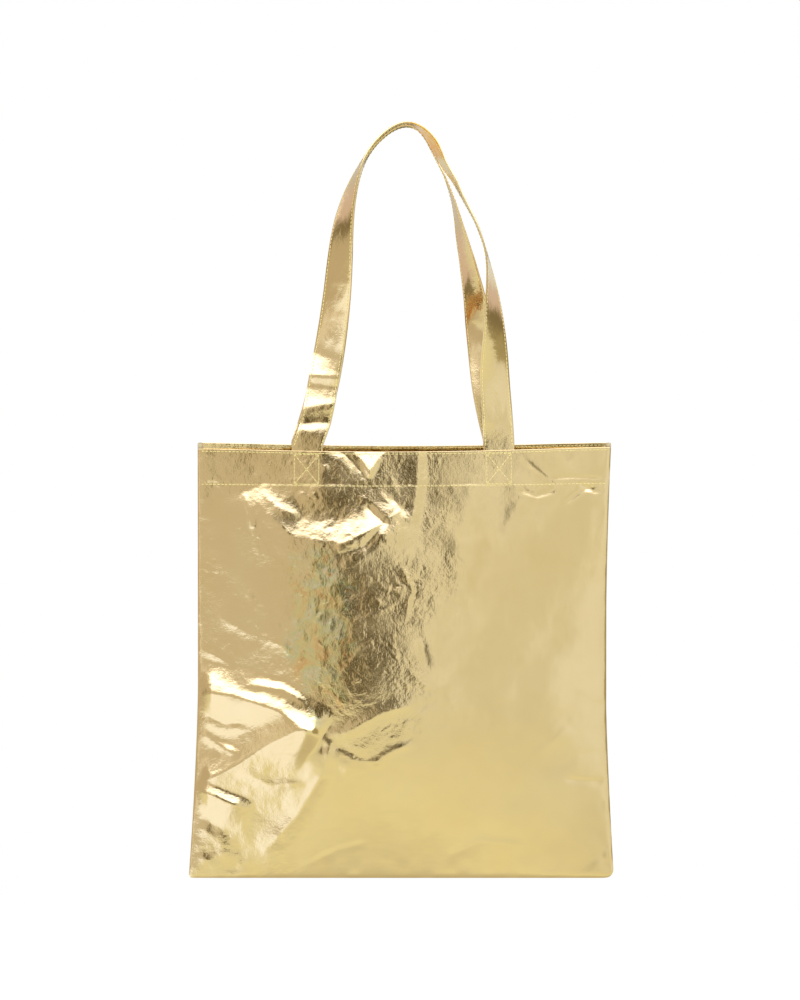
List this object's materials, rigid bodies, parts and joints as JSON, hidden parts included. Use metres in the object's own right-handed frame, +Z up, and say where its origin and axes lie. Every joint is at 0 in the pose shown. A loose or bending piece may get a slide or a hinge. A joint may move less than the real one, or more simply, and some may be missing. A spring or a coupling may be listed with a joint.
{
  "type": "gift bag",
  "caption": "Flat gold metallic laminated fabric gift tote with a hemmed open mouth and long sewn strap handles, hanging from them.",
  "frame": {"origin": "middle of the bottom seam, at the lowest point of the bag", "axes": "+X to the bag's right as seen from the front, +Y to the back wall, +Z up towards the handles"},
  "size_m": [0.38, 0.057, 0.6784],
  "materials": {
    "bag_cloth": "gold metallic film laminated on embossed non-woven, lightly creased",
    "handle_strap": "gold metallic laminated non-woven, folded four-ply strap",
    "thread": "golden yellow sewing thread"
  },
  "bodies": {
    "bag_seams": {"left_side_seam": "bag_cloth", "right_side_seam": "bag_cloth", "bottom_seam": "bag_cloth", "left_seam_thread": "thread", "right_seam_thread": "thread", "bottom_seam_thread": "thread"},
    "front_wall": {"front_panel": "bag_cloth", "front_hem_facing": "bag_cloth", "front_top_row_thread": "thread", "front_hem_row_thread": "thread", "front_left_strap_end": "handle_strap", "front_right_strap_end": "handle_strap", "front_left_cross_thread": "thread", "front_right_cross_thread": "thread"},
    "back_wall": {"back_panel": "bag_cloth", "back_hem_facing": "bag_cloth", "back_top_row_thread": "thread", "back_hem_row_thread": "thread", "back_left_strap_end": "handle_strap", "back_right_strap_end": "handle_strap", "back_left_cross_thread": "thread", "back_right_cross_thread": "thread"},
    "front_handle": {"front_handle_strap": "handle_strap", "front_handle_left_edge_thread": "thread", "front_handle_right_edge_thread": "thread"},
    "back_handle": {"back_handle_strap": "handle_strap", "back_handle_left_edge_thread": "thread", "back_handle_right_edge_thread": "thread"}
  },
  "joints": [
    {"name": "front_wall_opens", "type": "hinge", "parent": "bag_seams", "child": "front_wall", "pos_m": [0, 0, 0], "axis": [1, 0, 0], "range_deg": [0, 5]},
    {"name": "back_wall_opens", "type": "hinge", "parent": "bag_seams", "child": "back_wall", "pos_m": [0, 0, 0], "axis": [-1, 0, 0], "range_deg": [0, 5]},
    {"name": "front_handle_folds", "type": "hinge", "parent": "front_wall", "child": "front_handle", "pos_m": [0, -0.0079, 0.3886], "axis": [1, 0, 0], "range_deg": [0, 160]},
    {"name": "back_handle_folds", "type": "hinge", "parent": "back_wall", "child": "back_handle", "pos_m": [0, 0.0079, 0.3926], "axis": [-1, 0, 0], "range_deg": [0, 160]}
  ]
}
